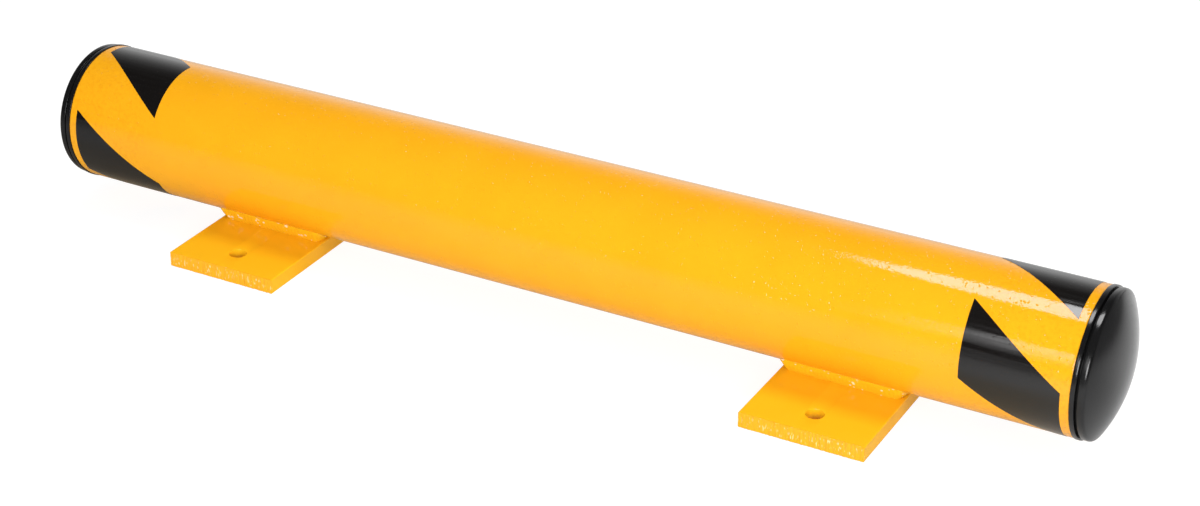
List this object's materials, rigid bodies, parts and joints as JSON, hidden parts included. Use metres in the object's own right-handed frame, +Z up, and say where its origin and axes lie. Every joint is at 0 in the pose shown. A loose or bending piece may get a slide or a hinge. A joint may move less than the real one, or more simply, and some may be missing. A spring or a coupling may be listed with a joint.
{
  "type": "steel bollard",
  "caption": "Steel bollard that lies along the floor: a capped yellow pipe with black hazard stripes at its ends, welded to flat base plates with anchor holes.",
  "frame": {"origin": "on the floor, at the centre of the underside of the part, below the middle of the pipe", "axes": "+X along the pipe, +Y across it towards the rear, +Z up"},
  "size_m": [0.9398, 0.2032, 0.1279],
  "materials": {
    "pipe_paint": "gloss safety yellow powder coat with a light orange peel",
    "plate_paint": "gloss safety yellow powder coat over rolled and sheared flat bar",
    "weld_paint": "gloss safety yellow powder coat over a rippled weld",
    "cap_plastic": "black moulded polyethylene, semi-gloss",
    "stripe_film": "black gloss film"
  },
  "bodies": {
    "root": {"pipe": "pipe_paint", "base_plate_left": "plate_paint", "weld_bead_left_front": "weld_paint", "weld_bead_left_rear": "weld_paint", "end_cap_left": "cap_plastic", "stripe_left_1": "stripe_film", "stripe_left_2": "stripe_film", "stripe_left_3": "stripe_film", "base_plate_right": "plate_paint", "weld_bead_right_front": "weld_paint", "weld_bead_right_rear": "weld_paint", "end_cap_right": "cap_plastic", "stripe_right_1": "stripe_film", "stripe_right_2": "stripe_film", "stripe_right_3": "stripe_film"}
  },
  "joints": []
}
